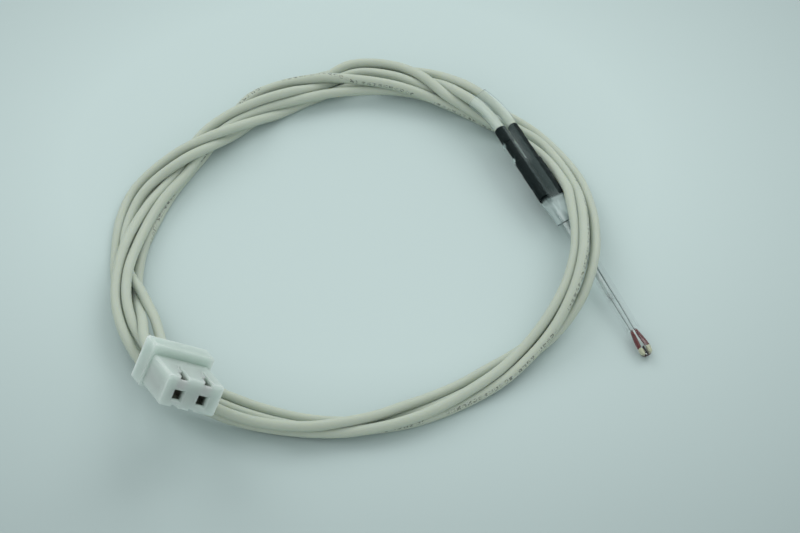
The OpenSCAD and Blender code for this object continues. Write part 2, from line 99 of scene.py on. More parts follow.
# How each wire lies in the bundle: angle round the loop, running clockwise from the connector
# and on through each turn, offset from the coil's middle line, and height, in millimetres
PLAIN_LAY = [
    (221, -0.4, 4.0), (216, -1.2, 3.2), (210, -1.8, 2.6), (200, -1.4, 1.7), (190, -0.2, 1.3),
    (180, 0.8, 1.0), (170, 1.4, 0.7), (160, 1.1, 1.4), (150, -0.3, 2.4), (140, -1.3, 1.9),
    (130, -1.4, 0.8), (120, -1.1, 0.5), (110, -0.4, 0.5), (100, 0.6, 0.5), (90, 2.1, 0.5),
    (80, 1.7, 1.2), (70, 0.1, 2.2), (60, -1.1, 2.4), (50, -1.5, 1.9), (40, -1.4, 1.8), (30, -1.0, 1.8),
    (20, -1.1, 2.5), (10, -1.3, 3.1), (0, -1.3, 3.6), (-10, -1.1, 3.6), (-20, -0.9, 3.1),
    (-30, -0.8, 2.3), (-40, -0.6, 1.5), (-50, -0.1, 1.4), (-60, 0.3, 1.4), (-80, 0.8, 1.4),
    (-90, 0.8, 1.2), (-100, 0.7, 0.9), (-120, 0.9, 0.9), (-130, 1.1, 1.3), (-140, 1.5, 2.0),
    (-150, 1.4, 2.4), (-160, 1.2, 2.4), (-170, 0.8, 2.2), (-180, 0.5, 1.9), (-190, 0.2, 1.4),
    (-210, -0.3, 1.4), (-220, 0.5, 1.6), (-230, 0.3, 1.8), (-240, -0.4, 2.0), (-250, -0.9, 2.1),
    (-260, -0.3, 1.3), (-270, 1.1, 1.1), (-280, 0.4, 1.4), (-290, -0.2, 1.4), (-300, 0.1, 1.0),
    (-310, 0.7, 0.6), (-320, 1.0, 0.5), (-330, 0.9, 0.9), (-340, 0.7, 1.7), (-350, 0.4, 2.6),
    (-360, 0.4, 3.2), (-370, 0.7, 3.3), (-380, 0.8, 2.4), (-390, 0.4, 1.2), (-400, -0.2, 0.5),
    (-420, -0.4, 0.5), (-440, -0.6, 0.5), (-460, -1.0, 0.5), (-480, -1.5, 0.5), (-490, -1.1, 0.5),
    (-500, -0.4, 0.8), (-510, 0.4, 1.1), (-530, 1.2, 0.8), (-540, 1.8, 0.5), (-550, 2.4, 0.5),
    (-560, 2.6, 0.7), (-570, 1.3, 1.8), (-580, -0.6, 2.5), (-590, -1.8, 2.3), (-600, -2.0, 1.4),
    (-610, -1.6, 0.6), (-620, -0.9, 0.5), (-630, -0.2, 0.6), (-640, 0.1, 1.1), (-650, 0.1, 1.9),
    (-656, -0.4, 2.6),
]
MARKED_LAY = [
    (220, 1.2, 5.0), (215, 0.3, 4.1), (210, -0.5, 3.1), (200, -0.9, 1.6), (190, -0.9, 0.9),
    (180, -0.9, 0.5), (170, -1.1, 0.5), (150, -0.7, 0.5), (140, -0.6, 0.5), (130, 0.2, 0.5),
    (120, 1.2, 0.8), (110, 0.9, 1.4), (100, 0.0, 1.8), (90, -0.9, 2.1), (80, -1.4, 2.1),
    (70, -1.6, 1.8), (60, -1.4, 1.4), (50, -1.0, 0.8), (40, -0.4, 0.7), (30, -0.1, 0.8),
    (20, -0.1, 1.5), (10, -0.4, 2.3), (0, -0.5, 3.1), (-10, -0.4, 3.2), (-20, -0.3, 2.6),
    (-30, -0.6, 1.4), (-40, -1.2, 0.5), (-50, -1.5, 0.5), (-60, -1.4, 0.5), (-70, -1.1, 0.8),
    (-80, -0.6, 1.2), (-90, 0.1, 1.7), (-100, 1.0, 2.1), (-120, 1.0, 1.9), (-130, 0.7, 2.1),
    (-150, 0.2, 2.6), (-160, 0.1, 2.6), (-170, -0.3, 2.2), (-180, -0.6, 1.7), (-190, -0.8, 1.4),
    (-200, -0.9, 1.4), (-220, -0.6, 1.4), (-230, -0.6, 1.4), (-240, -1.0, 1.4), (-250, -1.5, 1.5),
    (-260, -1.7, 1.5), (-270, -1.6, 1.3), (-290, -0.6, 0.9), (-310, 0.3, 0.6), (-320, 0.4, 0.7),
    (-330, -0.1, 1.4), (-340, -0.6, 2.4), (-350, -0.9, 3.3), (-360, -0.9, 4.0), (-370, -0.4, 4.2),
    (-380, 0.0, 3.5), (-390, 0.3, 2.4), (-400, 0.5, 1.5), (-410, 0.7, 1.0), (-420, 0.6, 0.7),
    (-440, 0.3, 0.5), (-460, 0.0, 0.5), (-480, -0.7, 0.5), (-500, -1.0, 0.5), (-520, -0.5, 0.5),
    (-540, 0.3, 0.5), (-570, 1.0, 0.5), (-600, 0.9, 0.5), (-620, 1.5, 0.5), (-630, 1.8, 0.5),
    (-640, 1.9, 0.9), (-650, 1.3, 1.9), (-656, 0.8, 2.6),
]
# Angles round the loop, and which way the printed side of the marked wire faces there, in
# degrees outwards from straight up
PRINT_ROLL = [
    (230, -170), (186, -170), (172, -30), (140, -30), (112, 20), (98, 30), (90, -80), (56, -90),
    (0, -180), (-315, -180), (-335, -300), (-435, -300), (-500, -180), (-700, -180),
]


def linear(srgb):
    """Turns a colour written in 0 to 255 steps into linear light, with the usual sRGB curve."""
    c = np.asarray(srgb, float) / 255.0
    return tuple(np.where(c <= 0.04045, c / 12.92, ((c + 0.055) / 1.055) ** 2.4))


def length_setting(name, description, millimetres):
    """A length that a user may change."""
    length = millimetres * MM
    return FloatProperty(name=name, description=description, default=length, unit="LENGTH")


def colour_setting(name, description, srgb):
    """A colour that a user may change, with its default written in 0 to 255 steps."""
    colour = linear(srgb)
    return FloatVectorProperty(name=name, description=description, default=colour, subtype="COLOR")


class WireSizes(PropertyGroup):
    """Sizes and colours of the two lead wires."""

    diameter: length_setting("Diameter", "Outside of the insulation", 1.0)
    spacing: length_setting("Ring spacing", "Length of wire from ring to ring", 0.6)
    sides: IntProperty(name="Sides", description="Points round each wire", default=20, min=8)
    ivory: colour_setting("Insulation", "Colour of the insulation", (174, 185, 171))
    ink: colour_setting("Ink", "Colour of the small marks", (74, 80, 75))


class PlugSizes(PropertyGroup):
    """Looks of the connector."""

    edge: length_setting("Edge radius", "Rounding of the moulded edges", 0.22)
    nylon: colour_setting("Nylon", "Colour of the natural nylon", (171, 186, 179))
    # Painted shade: the colour that nylon() mixes in deep in the pin holes and latch windows.
    inside: colour_setting("Openings", "Colour deep in the pin holes and latch windows", (70, 62, 54))


class SleeveSizes(PropertyGroup):
    """Colours of the splice sleeve."""

    black: colour_setting("Black sleeving", "Colour of the shrunk black sleeves", (5, 14, 15))
    film: colour_setting("Film", "Colour of the clear sleeve's light streaks", (206, 226, 223))
    film_dim: colour_setting("Film between streaks", "Colour of the clear sleeve where it is milky",
                             (146, 168, 165))
    film_edge: colour_setting("Film edge", "Colour of the clear sleeve seen edge on", (84, 97, 98))


class ProbeSizes(PropertyGroup):
    """Sizes and colours of the probe, its leads and the bead."""

    tube_diameter: length_setting("Probe tube", "Outside of the clear probe tube", 1.45)
    tube_bore: length_setting("Tube bore", "Inside of the clear probe tube", 1.15)
    lead_diameter: length_setting("Lead", "Diameter of the bead's lead wires", 0.21)
    lead_gap: length_setting("Lead gap", "Distance between the lead wires", 0.46)
    bead_diameter: length_setting("Bead", "Diameter of the glass bead", 1.3)
    bead_length: length_setting("Bead length", "Length of the glass bead", 3.0)
    lead_grey: colour_setting("Lead metal", "Colour of the bare lead wires", (158, 170, 169))
    lead_red: colour_setting("Sealed lead", "Colour of the leads in the glass", (112, 22, 26))


class StageSizes(PropertyGroup):
    """The floor, the light and the camera."""

    pale: colour_setting("Floor", "Colour of the floor round the object", (187, 205, 203))
    # Painted shade: the floor dims towards this colour away from the loop's middle, for the light's
    # falloff.
    falloff_shade: colour_setting("Far floor", "Colour of the floor further out", (151, 167, 166))
    sky: FloatProperty(name="Sky", description="Strength of the even light", default=0.8, min=0.0)
    elevation: FloatProperty(
        name="Elevation", description="Angle of the camera above the floor", default=np.radians(50),
        unit="ROTATION"
    )
    distance: FloatProperty(
        name="Distance", description="Distance of the camera", default=0.28, unit="LENGTH"
    )
    lens: FloatProperty(name="Lens", description="Focal length", default=128.5, unit="CAMERA")


# Places and directions

def turned(axis, degrees):
    """Matrix of a turn about one axis by the right-hand rule."""
    a = np.radians(degrees)
    c, s = np.cos(a), np.sin(a)
    rows = {
        "x": [[1, 0, 0], [0, c, -s], [0, s, c]],
        "y": [[c, 0, s], [0, 1, 0], [-s, 0, c]],
        "z": [[c, -s, 0], [s, c, 0], [0, 0, 1]],
    }
    return np.array(rows[axis])


BEAD_AT = LOOP_MIDDLE + BEAD_PLACE
PROBE_AXES = turned("z", PROBE_AZIMUTH) @ turned("y", -PROBE_RISE)
SLEEVE_AXES = turned("z", SLEEVE_AZIMUTH) @ turned("y", -SLEEVE_RISE)
SLEEVE_AT = BEAD_AT + PROBE_AXES @ [PROBE_LENGTH, 0, 0]
PLUG_AT = LOOP_MIDDLE + PLUG_PLACE
PLUG_AXES = turned("z", PLUG_TURN[2]) @ turned("y", PLUG_TURN[1]) @ turned("x", PLUG_TURN[0])


def on_probe(points):
    """Places in the probe's frame, x from the bead's middle up the tube, as places in the row."""
    return BEAD_AT + np.asarray(points, float) @ PROBE_AXES.T


def on_sleeve(points):
    """Places in the sleeve's frame, which beyond BEND_X curves by SLEEVE_BEND degrees a millimetre.

    On the curve a place is BEND_X + sin(a) / k - y sin(a) and (1 - cos(a)) / k + y cos(a), where
    k is the curve in radians a millimetre and a = k (x - BEND_X)."""
    p = np.atleast_2d(np.asarray(points, float))
    k = np.radians(SLEEVE_BEND)
    a = k * np.clip(p[:, 0] - BEND_X, 0, None)
    x = np.minimum(p[:, 0], BEND_X) + np.sin(a) / k - p[:, 1] * np.sin(a)
    y = (1 - np.cos(a)) / k + p[:, 1] * np.cos(a)
    return SLEEVE_AT + np.column_stack([x, y, p[:, 2]]) @ SLEEVE_AXES.T


def on_plug(points):
    """Places in the connector's frame, y from its mating face back, as places in the row."""
    return PLUG_AT + np.asarray(points, float) @ PLUG_AXES.T


def loop_radius(angles):
    """Smooth closed curve through LOOP_RADII, by cubics with the slope of the two neighbours."""
    s = (np.asarray(angles, float) % 360.0) / 15.0
    k = np.floor(s).astype(int)
    t = s - k
    a, b, c, d = (LOOP_RADII[(k + i) % len(LOOP_RADII)] for i in (-1, 0, 1, 2))
    return b + t * ((c - a) / 2 + t * (a - 2.5 * b + 2 * c - d / 2 + t * (1.5 * (b - c) + (d - a) / 2)))


def smooth_through(x, y, wanted):
    """Cubic Hermite curve through the points (x, y), with mean slopes at them, read at wanted."""
    x, y = np.asarray(x, float), np.asarray(y, float)
    slope = np.gradient(y, x, axis=0)
    k = np.clip(np.searchsorted(x, wanted, side="right") - 1, 0, len(x) - 2)
    h = x[k + 1] - x[k]
    t = (wanted - x[k]) / h
    if y.ndim > 1:
        t, h = t[:, None], h[:, None]
    return (
        (2 * t**3 - 3 * t**2 + 1) * y[k]
        + (t**3 - 2 * t**2 + t) * h * slope[k]
        + (3 * t**2 - 2 * t**3) * y[k + 1]
        + (t**3 - t**2) * h * slope[k + 1]
    )


def evenly(points, spacing):
    """The polyline through the points, cut again into steps of one length by its running length."""
    run = np.concatenate([[0], np.cumsum(np.linalg.norm(np.diff(points, axis=0), axis=1))])
    steps = max(int(round(run[-1] / spacing)), 2)
    return smooth_through(run, points, np.linspace(0, run[-1], steps + 1))


def laid_wire(lay, plug_x, lobe_side):
    """A wire's middle line: out of the connector, along its lay round the loop, into the sleeve.

    A place in the lay is the loop's radius at its angle plus its offset, at its height. Places
    are taken every 2.5 degrees."""
    keys = np.array(lay, float)
    angles = np.arange(keys[0, 0], keys[-1, 0] - 0.1, -2.5)
    across = smooth_through(-keys[:, 0], keys[:, 1:], -angles)
    r = loop_radius(angles) + across[:, 0]
    a = np.radians(angles)
    turns = LOOP_MIDDLE + np.column_stack([r * np.cos(a), r * np.sin(a), across[:, 1]])
    start = on_plug([[plug_x, y, PLUG_WIRE_HEIGHT] for y in PLUG_RUN])
    end = on_sleeve([[x, lobe_side * LOBE, 0] for x in SLEEVE_RUN])
    return np.vstack([start, turns, end])


# Settling of the strands

def settle(wires, diameter):
    """Pushes the strands of all wires apart over a fixed number of rounds, out of one another, the
    floor and the probe.

    Each round moves every pair of points that is closer than one diameter apart along the line
    between them, less for a point that touches many, and pushes out what is in the probe tube or
    the sleeve. It draws all back a little to the first lay, lifts what is in the floor, and evens
    the shift from the first lay along the wire, so that bends stay smooth."""
    rounds, find_again = 240, 15
    push_share, crowding, draw_back = 0.45, 0.35, 0.012
    first = np.vstack(wires)
    p = first.copy()
    wire_of = np.concatenate([np.full(len(w), i) for i, w in enumerate(wires)])
    place = np.concatenate([np.arange(len(w)) for w in wires])
    held = np.concatenate([end_hold(len(w)) for w in wires])[:, None]
    step = np.linalg.norm(first[1] - first[0])
    skip = int(2.0 * diameter / step) + 2
    tube_radius, lobe_radius = 0.73, 0.72
    rods = [(on_probe([1.6, 0, 0]), on_probe([17.6, 0, 0]), tube_radius)]
    rods += [(*on_sleeve([[0, y, 0], [15.4, y, 0]]), lobe_radius) for y in (LOBE, -LOBE)]
    for n in range(rounds):
        if n % find_again == 0:
            i, j = near_pairs(p, wire_of, place, skip, 1.6 * diameter)
        gap = p[j] - p[i]
        dist = np.linalg.norm(gap, axis=1)
        push = np.clip(diameter - dist, 0, None)
        shift = (push_share * push / np.maximum(dist, 1e-6))[:, None] * gap
        move, hits = np.zeros_like(p), np.ones(len(p))
        np.add.at(move, j, shift)
        np.add.at(move, i, -shift)
        for k in (i, j):
            np.add.at(hits, k[push > 0], crowding)
        p += held * move / hits[:, None]
        for a, b, r in rods:
            p += held * clear_of_rod(p, a, b, r + diameter / 2)
        p += held * draw_back * (first - p)
        p[:, 2] = np.maximum(p[:, 2], diameter / 2)
        p = first + evened(p - first, wire_of)
        p[:, 2] = np.maximum(p[:, 2], diameter / 2)
    return [p[wire_of == i] for i in range(len(wires))]


def end_hold(count):
    """0 over the first and last points of a wire, which are held, and 1 in between, with a ramp."""
    at_start, at_end, rise = 9, 18, 12
    n = np.arange(count)
    return np.clip(np.minimum(n - at_start, count - 1 - n - at_end) / rise, 0, 1)


def near_pairs(p, wire_of, place, skip, reach):
    """Index pairs of points closer than reach, leaving out neighbours on the same wire."""
    found = []
    block = 256
    for i0 in range(0, len(p), block):
        rows = p[i0:i0 + block]
        d2 = ((rows[:, None, :] - p[None, :, :]) ** 2).sum(2)
        i, j = np.nonzero(d2 < reach * reach)
        i = i + i0
        ok = (j > i) & ((wire_of[i] != wire_of[j]) | (np.abs(place[i] - place[j]) > skip))
        found.append(np.column_stack([i[ok], j[ok]]))
    found = np.vstack(found)
    return found[:, 0], found[:, 1]


def clear_of_rod(p, a, b, r):
    """How far each point has to move to leave the round rod from a to b of radius r."""
    run = b - a
    t = np.clip(((p - a) @ run) / (run @ run), 0, 1)[:, None]
    out = p - (a + t * run)
    dist = np.linalg.norm(out, axis=1, keepdims=True)
    return np.where(dist < r, (r - dist) * out / np.maximum(dist, 1e-6), 0)


def evened(shift, wire_of):
    """Each point's shift averaged with its two neighbours on the wire, with weights 1, 2, 1."""
    out = shift.copy()
    for w in np.unique(wire_of):
        s = shift[wire_of == w]
        mid = 0.25 * s[:-2] + 0.5 * s[1:-1] + 0.25 * s[2:]
        out[wire_of == w] = np.vstack([s[:1], mid, s[-1:]])
    return out


# Meshes

def new_object(name, data):
    """An object in the scene, at the origin."""
    obj = bpy.data.objects.new(name, data)
    bpy.context.scene.collection.objects.link(obj)
    return obj


def make_piece(name, verts, faces, uv=None, smooth=True):
    """A mesh object at the origin from points in millimetres; uv has one row for each corner."""
    mesh = bpy.data.meshes.new(name)
    mesh.from_pydata((np.asarray(verts) * MM).tolist(), [], [list(map(int, f)) for f in faces])
    if uv is not None:
        layer = mesh.uv_layers.new(name="surface")
        layer.data.foreach_set("uv", np.asarray(uv, np.float32).ravel())
    mesh.polygons.foreach_set("use_smooth", np.full(len(mesh.polygons), smooth))
    mesh.update()
    return new_object(name, mesh)


def grid_faces(rows, columns, wrap_rows=False):
    """Quads of a grid whose columns close round, as an array of four corners each."""
    r = np.arange(rows if wrap_rows else rows - 1)[:, None]
    c = np.arange(columns)[None, :]
    nxt = (c + 1) % columns
    down = (r + 1) % rows
    quads = np.stack([r * columns + c, down * columns + c, down * columns + nxt, r * columns + nxt], 2)
    return quads.reshape(-1, 4)


def grid_uv(faces, columns, along, roll=0.0):
    """The uv of a grid's quads: what along says for the row, and the turn round less its roll."""
    row, turn = faces // columns, faces % columns
    closing = turn.max(1, keepdims=True) == columns - 1
    turn = np.where((turn == 0) & closing, columns, turn)
    roll = np.broadcast_to(roll, len(along))
    return np.stack([along[row], turn / columns - roll[row] / 360.0], 2).reshape(-1, 2)


def swept(path, radii, sides, roll=0.0):
    """A tube carried along a path: path + radius * (cos a * up + sin a * outward), capped flat.

    Its uv is the running length in metres and the turn round the wire, less the roll."""
    tangent = np.gradient(path, axis=0)
    tangent /= np.linalg.norm(tangent, axis=1, keepdims=True)
    level = np.cross(tangent, [0, 0, 1.0])
    level /= np.linalg.norm(level, axis=1, keepdims=True)
    up = np.cross(level, tangent)
    a = np.linspace(0, 2 * np.pi, sides, endpoint=False)
    ring = np.cos(a)[None, :, None] * up[:, None, :] - np.sin(a)[None, :, None] * level[:, None, :]
    verts = (path[:, None, :] + np.broadcast_to(radii, len(path))[:, None, None] * ring).reshape(-1, 3)
    quads = grid_faces(len(path), sides)
    run = np.concatenate([[0], np.cumsum(np.linalg.norm(np.diff(path, axis=0), axis=1))]) * MM
    caps = [np.arange(sides), np.arange(sides)[::-1] + (len(path) - 1) * sides]
    uv = np.vstack([grid_uv(quads, sides, run, roll), np.full((2 * sides, 2), 0.5)])
    return verts, list(quads) + caps, uv


def lathed(profile, place, sides):
    """A profile of (x, radius) turned round the x axis of a frame; place maps it to the row."""
    x, r = np.repeat(profile, sides, axis=0).T
    a = np.tile(np.linspace(0, 2 * np.pi, sides, endpoint=False), len(profile))
    return place(np.column_stack([x, r * np.cos(a), r * np.sin(a)]))


def turned_ring(name, profile, place):
    """A piece like a washer: a closed profile turned round the x axis."""
    sides = 48
    faces = grid_faces(len(profile), sides, wrap_rows=True)[:, ::-1]
    return make_piece(name, lathed(profile, place, sides), faces)


def turned_drop(name, profile, place, sides):
    """A closed piece: a profile with a point on the axis at each end, turned round the x axis.

    The two ends are one point each, with triangles round it."""
    body = lathed(profile[1:-1], place, sides)
    poles = place(np.array([[profile[0, 0], 0, 0], [profile[-1, 0], 0, 0]]))
    n = len(body)
    a = np.arange(sides)
    b = (a + 1) % sides
    start = np.column_stack([np.full(sides, n), b, a])
    end = np.column_stack([np.full(sides, n + 1), n - sides + a, n - sides + b])
    quads = grid_faces(len(profile) - 2, sides)[:, ::-1]
    return make_piece(name, np.vstack([body, poles]), [*quads, *start, *end])


def finish_piece(obj, material, replaced):
    """Gives a piece its material and body, and hides the CAD nodes that it stands for."""
    obj.data.materials.append(material)
    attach(obj, "root")
    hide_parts(*replaced)


# Materials

def new_material(name, **values):
    """A material with one Principled shader, whose sockets get the values by their names.

    A tuple is a colour, and a list stays the three numbers that it is."""
    material = bpy.data.materials.new(name)
    material.use_nodes = True
    shader = material.node_tree.nodes["Principled BSDF"]
    for key, value in values.items():
        socket = shader.inputs[key.replace("_", " ").title().replace("Ior", "IOR")]
        socket.default_value = (*value, 1.0) if isinstance(value, tuple) else value
    return material, shader


def add_node(tree, kind, inputs=(), **settings):
    """A node of that kind, with its settings, and its inputs set to values or linked."""
    node = tree.nodes.new(kind)
    for key, value in settings.items():
        setattr(node, key, value)
    for index, value in dict(inputs).items():
        if isinstance(value, bpy.types.NodeSocket):
            tree.links.new(value, node.inputs[index])
        else:
            node.inputs[index].default_value = value
    return node


def math(tree, operation, a, b=0.0, clamp=False):
    """The output of one Math node."""
    node = add_node(tree, "ShaderNodeMath", {0: a, 1: b}, operation=operation, use_clamp=clamp)
    return node.outputs[0]


def ramp(tree, value, none, full, least=0.0, most=1.0):
    """A number that is least, or 0, where the value is none and most, or 1, where it is full."""
    inputs = {0: value, 1: none, 2: full, 3: least, 4: most}
    return add_node(tree, "ShaderNodeMapRange", inputs).outputs[0]


def flat_noise(tree, x, y, detail):
    """Noise over a plane, at the place (x, y) of it."""
    place = add_node(tree, "ShaderNodeCombineXYZ", {0: x, 1: y})
    noise = add_node(tree, "ShaderNodeTexNoise", {"Vector": place.outputs[0], "Scale": 1.0,
                     "Detail": detail}, noise_dimensions="2D")
    return noise.outputs["Fac"]


def bump_at(tree, value, middle, half):
    """Mask that is 1 where the value is middle and falls to 0 over half on both sides."""
    away = math(tree, "ABSOLUTE", math(tree, "SUBTRACT", value, middle))
    return ramp(tree, away, half, half * 0.5)


def product(tree, first, *factors):
    """The product of masks and values."""
    for factor in factors:
        first = math(tree, "MULTIPLY", first, factor)
    return first


def opaque(colour):
    """A colour with its fourth number, or the socket that the colour comes from."""
    return colour if isinstance(colour, bpy.types.NodeSocket) else (*colour, 1.0)


def mixed(tree, share, first, second):
    """A colour that is the first where the share is 0 and the second where it is 1."""
    return add_node(tree, "ShaderNodeMix", {0: share, 6: opaque(first), 7: opaque(second)},
                    data_type="RGBA").outputs[2]


def own_uv(tree):
    """The two numbers of a piece's own uv: how far along it, and the turn round it."""
    uv = add_node(tree, "ShaderNodeUVMap", uv_map="surface")
    split = add_node(tree, "ShaderNodeSeparateXYZ", {0: uv.outputs[0]})
    return split.outputs[0], split.outputs[1]


def vector_math(tree, operation, a, b=(0.0, 0.0, 0.0)):
    """The outputs of one Vector Math node."""
    return add_node(tree, "ShaderNodeVectorMath", {0: a, 1: b}, operation=operation).outputs


def object_place(tree):
    """The Object coordinates, which are places in the row in metres."""
    return add_node(tree, "ShaderNodeTexCoord").outputs["Object"]


def measured(tree, origin, direction):
    """Millimetres from a place, given in millimetres too, in a direction, by Object coordinates."""
    away = vector_math(tree, "SUBTRACT", object_place(tree), tuple(origin * MM))[0]
    return vector_math(tree, "DOT_PRODUCT", away, tuple(direction / MM))["Value"]


def up_the_probe(tree, x):
    """Millimetres up the probe from the place x on it."""
    return measured(tree, on_probe([x, 0, 0]), PROBE_AXES[:, 0])


def turned_away(tree):
    """How far a surface turns away from the eye, from 0 facing it to 1 edge on."""
    return add_node(tree, "ShaderNodeLayerWeight", {"Blend": 0.5}).outputs["Facing"]


def wear_group():
    """Node group: fine mottling of a colour and a faint unevenness for a bump."""
    group = bpy.data.node_groups.new("soft_mottle", "ShaderNodeTree")
    for way, name, kind in (("INPUT", "Color", "Color"), ("INPUT", "Scale", "Float"),
                            ("INPUT", "Strength", "Float"), ("OUTPUT", "Color", "Color"),
                            ("OUTPUT", "Height", "Float")):
        group.interface.new_socket(name, in_out=way, socket_type="NodeSocket" + kind)
    into = group.nodes.new("NodeGroupInput")
    out = group.nodes.new("NodeGroupOutput")
    noise = add_node(group, "ShaderNodeTexNoise", {"Vector": object_place(group),
                     "Scale": into.outputs["Scale"], "Detail": 3.0})
    swing = product(group, math(group, "SUBTRACT", noise.outputs["Fac"], 0.5), into.outputs["Strength"])
    value = math(group, "ADD", swing, 1.0)
    tint = add_node(group, "ShaderNodeHueSaturation", {"Color": into.outputs["Color"], "Value": value})
    group.links.new(tint.outputs[0], out.inputs["Color"])
    group.links.new(noise.outputs["Fac"], out.inputs["Height"])
    return group


def mottle(material, shader, colour, scale, strength, bump=0.0):
    """Feeds the shader's colour, and if wanted a bump, from the mottling group."""
    tree = material.node_tree
    group = bpy.data.node_groups.get("soft_mottle") or wear_group()
    node = add_node(tree, "ShaderNodeGroup", {"Color": opaque(colour), "Scale": scale,
                    "Strength": strength}, node_tree=group)
    tree.links.new(node.outputs["Color"], shader.inputs["Base Color"])
    if bump:
        depth = 0.05 * MM
        bumped = add_node(tree, "ShaderNodeBump", {"Strength": bump, "Distance": depth,
                          "Height": node.outputs["Height"]})
        tree.links.new(bumped.outputs[0], shader.inputs["Normal"])
    return node


def insulation(name, ivory, ink):
    """Ivory insulation; with an ink that isn't None, small broken marks in a line along the wire.

    A mark shows where the turn round the wire is within the line's width, the running length is
    inside a letter and inside a printed stretch, and a pattern of small cells says ink. Its
    strength is that of the worn print at its place."""
    material, shader = new_material(name, roughness=0.5, specular_ior_level=0.35,
                                    subsurface_weight=0.4, subsurface_scale=0.5,
                                    subsurface_radius=[0.0014, 0.0012, 0.0007])
    tree = material.node_tree
    colour = tuple(ivory)
    if ink is not None:
        letters_a_metre, stretches_a_metre, half_line = 1700.0, 62.0, 0.06
        along, around = own_uv(tree)
        turn = math(tree, "SUBTRACT", math(tree, "FRACT", math(tree, "ADD", around, 100.5)), 0.5)
        inside = math(tree, "LESS_THAN", math(tree, "ABSOLUTE", turn), half_line)
        across, half_letter = product(tree, turn, 22.0), product(tree, along, 2 * letters_a_metre)
        cells = flat_noise(tree, half_letter, across, 0.0)
        stroke = math(tree, "GREATER_THAN", cells, 0.47)
        letter = math(tree, "FRACT", product(tree, along, letters_a_metre))
        letter = math(tree, "GREATER_THAN", letter, 0.26)
        stretch = math(tree, "FRACT", product(tree, along, stretches_a_metre))
        stretch = math(tree, "LESS_THAN", stretch, 0.86)
        worn = add_node(tree, "ShaderNodeTexNoise", {"W": product(tree, along, 260.0), "Detail": 1.0},
                        noise_dimensions="1D")
        strength = ramp(tree, worn.outputs["Fac"], 0.34, 0.56, 0.15, 0.75)
        mask = product(tree, inside, stroke, letter, stretch, strength)
        colour = mixed(tree, mask, ivory, ink)
    mottle(material, shader, colour, 900.0, 0.05, 0.15)
    return material


def clear_plastic(name, srgb, veil, rim, power, roughness, fade=None, **more):
    """Thin clear plastic: its cover is the veil, and the rim times a power of how it turns away.

    With a fade, the cover grows from none at that place on the probe over that length."""
    material, shader = new_material(name, roughness=roughness, ior=1.45, **more)
    tree = material.node_tree
    edge = math(tree, "POWER", turned_away(tree), power)
    mottle(material, shader, linear(srgb), 700.0, 0.08)
    cover = math(tree, "ADD", product(tree, edge, rim), veil, clamp=True)
    if fade:
        cover = product(tree, cover, ramp(tree, up_the_probe(tree, fade[0]), 0.0, fade[1]))
    tree.links.new(cover, shader.inputs["Alpha"])
    return material


def film_plastic(sizes):
    """The clear sleeve's film: all but unseen over the splices, milky where it is empty.

    Its uv is the place along the sleeve and the turn round it, and only its outer skin where it
    faces the eye has a cover: the greatest of a faint band between the lobes, which is a painted
    sheen of the flat film there, two bright spots at the steps of the sleeves, which are painted
    highlights, the veil over the wires, the milky stretch below the splices, the two cut edges and
    the rim. The colour is streaked along the sleeve, and darker at cut and rim."""
    material, shader = new_material("clear_film_skin", roughness=0.3, ior=1.45, specular_ior_level=0.25)
    tree = material.node_tree
    along, around = own_uv(tree)
    streak = flat_noise(tree, product(tree, along, 0.2), product(tree, around, 9.0), 1.0)
    streak = ramp(tree, streak, 0.42, 0.6)
    side = math(tree, "COSINE", product(tree, around, 2 * np.pi))
    geometry = tree.nodes.new("ShaderNodeNewGeometry")
    near = product(tree, math(tree, "SUBTRACT", 1.0, geometry.outputs["Backfacing"]),
                   math(tree, "LESS_THAN", along, INNER_SKIN / 2))
    above = ramp(tree, along, 10.1, 10.5)
    below = ramp(tree, along, 0.1, -0.2)
    # Painted sheen: a faint whitish cover on the flat film between the lobes, for its reflection there.
    painted_sheen = ramp(tree, math(tree, "ABSOLUTE", side), 0.27, 0.19)
    # Painted highlights: bright spots where the film bridges the steps of the black sleeves.
    steps = math(tree, "MAXIMUM", *(bump_at(tree, along, step, 0.3) for step in SLEEVE_STEPS))
    steps = product(tree, steps, ramp(tree, side, 0.78, 0.9))
    cut = math(tree, "MAXIMUM", ramp(tree, along, FILM_FROM + 0.12, FILM_FROM + 0.07),
               product(tree, ramp(tree, along, FILM_TO - 0.12, FILM_TO - 0.07), 0.3))
    edge = product(tree, ramp(tree, turned_away(tree), 0.45, 0.85), math(tree, "MAXIMUM", above, 0.1))
    cover = 0.0
    for share, strength in ((painted_sheen, 0.12), (steps, 0.6), (above, 0.26), (below, 0.45), (cut, 0.85),
                            (edge, 0.8)):
        cover = math(tree, "MAXIMUM", cover, product(tree, share, strength))
    cover = math(tree, "MAXIMUM", product(tree, cover, near), 0.002)
    tree.links.new(cover, shader.inputs["Alpha"])
    body = mixed(tree, streak, sizes.film_dim, sizes.film)
    colour = mixed(tree, math(tree, "MAXIMUM", edge, cut), body, sizes.film_edge)
    mottle(material, shader, colour, 700.0, 0.04)
    return material


# Operators

class THERM_OT_stage(Operator):
    """Lay the floor, set the light and place the camera"""

    bl_idname = "therm.stage"
    bl_label = "Stage"

    def execute(self, context):
        sizes = context.scene.therm_stage
        build_floor(sizes)
        build_lights(sizes)
        build_camera(sizes)
        context.scene.view_settings.view_transform = "Standard"
        return {"FINISHED"}


